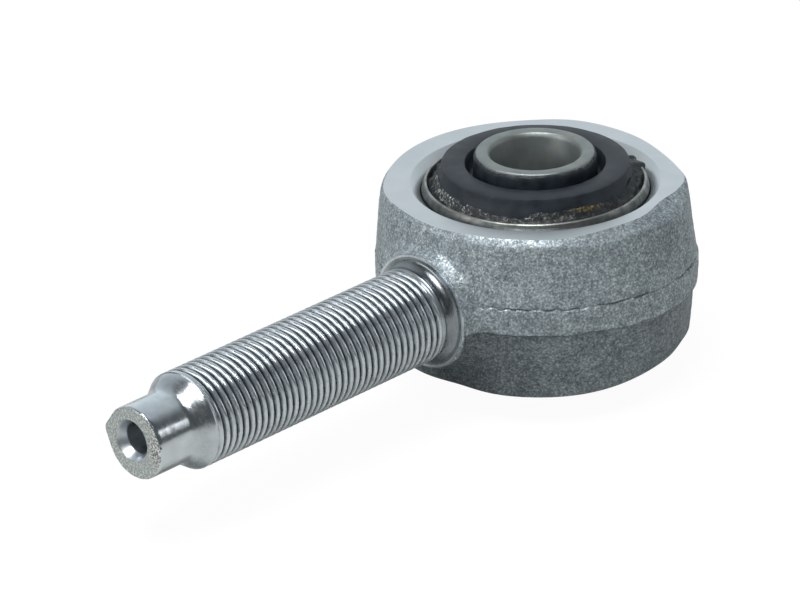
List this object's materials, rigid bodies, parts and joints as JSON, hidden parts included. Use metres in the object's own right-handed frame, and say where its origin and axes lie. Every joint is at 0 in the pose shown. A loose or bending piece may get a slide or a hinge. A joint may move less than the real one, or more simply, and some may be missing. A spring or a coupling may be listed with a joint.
{
  "type": "rod end bearing",
  "caption": "Rod end with a rubber-bushed eye and an integral externally threaded shank, for a link or tie rod.",
  "frame": {"origin": "centre of the bush, on the axis of the eye's bore, halfway between the inner sleeve's two ends", "axes": "+Z along the axis of the eye's bore and of the bush; +X along the shank, from the eye to the tip"},
  "size_m": [0.1735, 0.078, 0.0566],
  "materials": {
    "forged_steel": "satin",
    "sleeve_steel": "satin",
    "black_rubber": "matte",
    "inner_sleeve_steel": "satin"
  },
  "bodies": {
    "housing": {"forged_housing": "forged_steel", "outer_sleeve": "sleeve_steel"},
    "bush": {"rubber_body": "black_rubber"},
    "sleeve": {"inner_sleeve": "inner_sleeve_steel"}
  },
  "joints": [
    {"name": "bush_tilt", "type": "hinge", "parent": "housing", "child": "bush", "pos_m": [0, 0, 0], "axis": [1, 0, 0], "range_deg": [-5, 5], "stiffness_Nm_per_rad": 600, "deforming": ["rubber_body"]},
    {"name": "bush_twist", "type": "hinge", "parent": "bush", "child": "sleeve", "pos_m": [0, 0, 0], "axis": [0, 0, 1], "range_deg": [-15, 15], "stiffness_Nm_per_rad": 172, "deforming": ["rubber_body"]}
  ]
}
